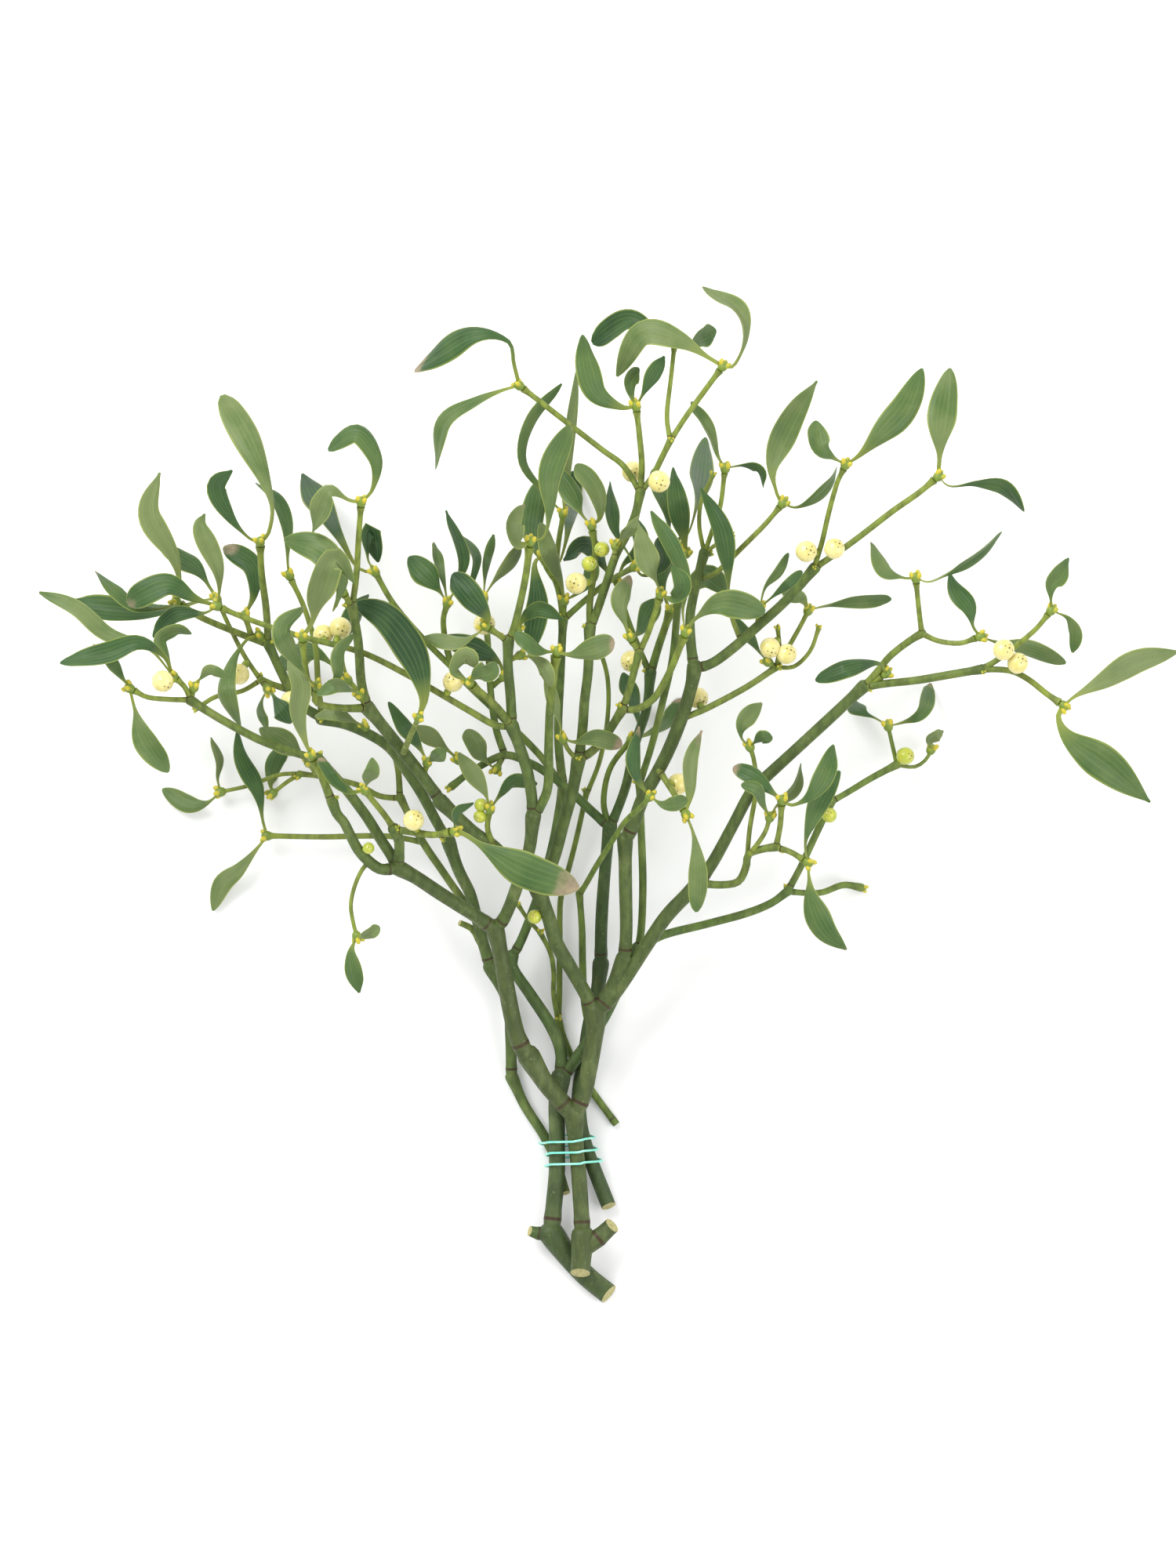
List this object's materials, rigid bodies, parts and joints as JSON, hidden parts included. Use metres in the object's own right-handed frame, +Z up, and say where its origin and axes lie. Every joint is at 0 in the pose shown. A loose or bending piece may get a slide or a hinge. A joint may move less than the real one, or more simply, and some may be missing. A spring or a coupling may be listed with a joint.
{
  "type": "mistletoe bunch",
  "caption": "Tied bunch of cut mistletoe lying on a surface: forking stems with swollen nodes, opposite strap-shaped leaves, pale berries and a thin binding wire.",
  "frame": {"origin": "middle of the bounding box, on the surface that the bunch lies on", "axes": "+X to the right across the fan of twigs, +Y from the cut stem ends towards the twig tips, +Z up, the way that the camera looks down"},
  "size_m": [0.4346, 0.39, 0.1267],
  "materials": {
    "stem_front": "green-brown living bark, fine lengthwise grooves, dark rings at the swollen nodes, matte to satin",
    "stem_left": "green-brown living bark with dark node rings, matte",
    "stem_back": "dark green bark, matte",
    "stem_thin_left": "grey-green bark with dark node rings, matte",
    "stem_thin_back": "dark green bark, matte",
    "leaf": "leathery evergreen leaf, faint parallel veins, thin yellow edge, satin",
    "berry": "waxy translucent cream berry with small dark dots, soft gloss",
    "wire": "turquoise coated binding wire, soft gloss"
  },
  "bodies": {
    "root": {"berries_left_3": "berry", "berries_right_3": "berry", "berries_right_4": "berry", "berry_left_1": "berry", "berry_left_2": "berry", "berry_left_4": "berry", "berry_left_5": "berry", "berry_middle_1": "berry", "berry_middle_2": "berry", "berry_middle_3": "berry", "berry_middle_4": "berry", "berry_middle_5": "berry", "berry_middle_6": "berry", "berry_right_1": "berry", "berry_right_2": "berry", "berry_top_1": "berry", "berry_top_2": "berry", "leaves_front_large": "leaf", "leaves_left_1": "leaf", "leaves_left_10": "leaf", "leaves_left_11": "leaf", "leaves_left_12": "leaf", "leaves_left_13": "leaf", "leaves_left_2": "leaf", "leaves_left_3": "leaf", "leaves_left_5": "leaf", "leaves_left_6": "leaf", "leaves_left_7": "leaf", "leaves_left_8": "leaf", "leaves_left_9": "leaf", "leaves_middle_1": "leaf", "leaves_middle_2": "leaf", "leaves_middle_3": "leaf", "leaves_middle_4": "leaf", "leaves_middle_5": "leaf", "leaves_middle_right_1": "leaf", "leaves_middle_right_2": "leaf", "leaves_middle_right_3": "leaf", "leaves_right_1": "leaf", "leaves_right_2": "leaf", "leaves_right_3": "leaf", "leaves_right_4": "leaf", "leaves_right_5": "leaf", "leaves_right_6": "leaf", "leaves_right_7": "leaf", "leaves_right_9": "leaf", "leaves_top_1": "leaf", "leaves_top_2": "leaf", "leaves_top_3": "leaf", "leaves_top_4": "leaf", "leaves_top_left": "leaf", "leaves_top_right_1": "leaf", "leaves_top_right_2": "leaf", "leaves_top_right_3": "leaf", "stem_back": "stem_back", "stem_front": "stem_front", "stem_left": "stem_left", "stem_thin_back": "stem_thin_back", "stem_thin_left": "stem_thin_left", "tie_wire": "wire"}
  },
  "joints": []
}
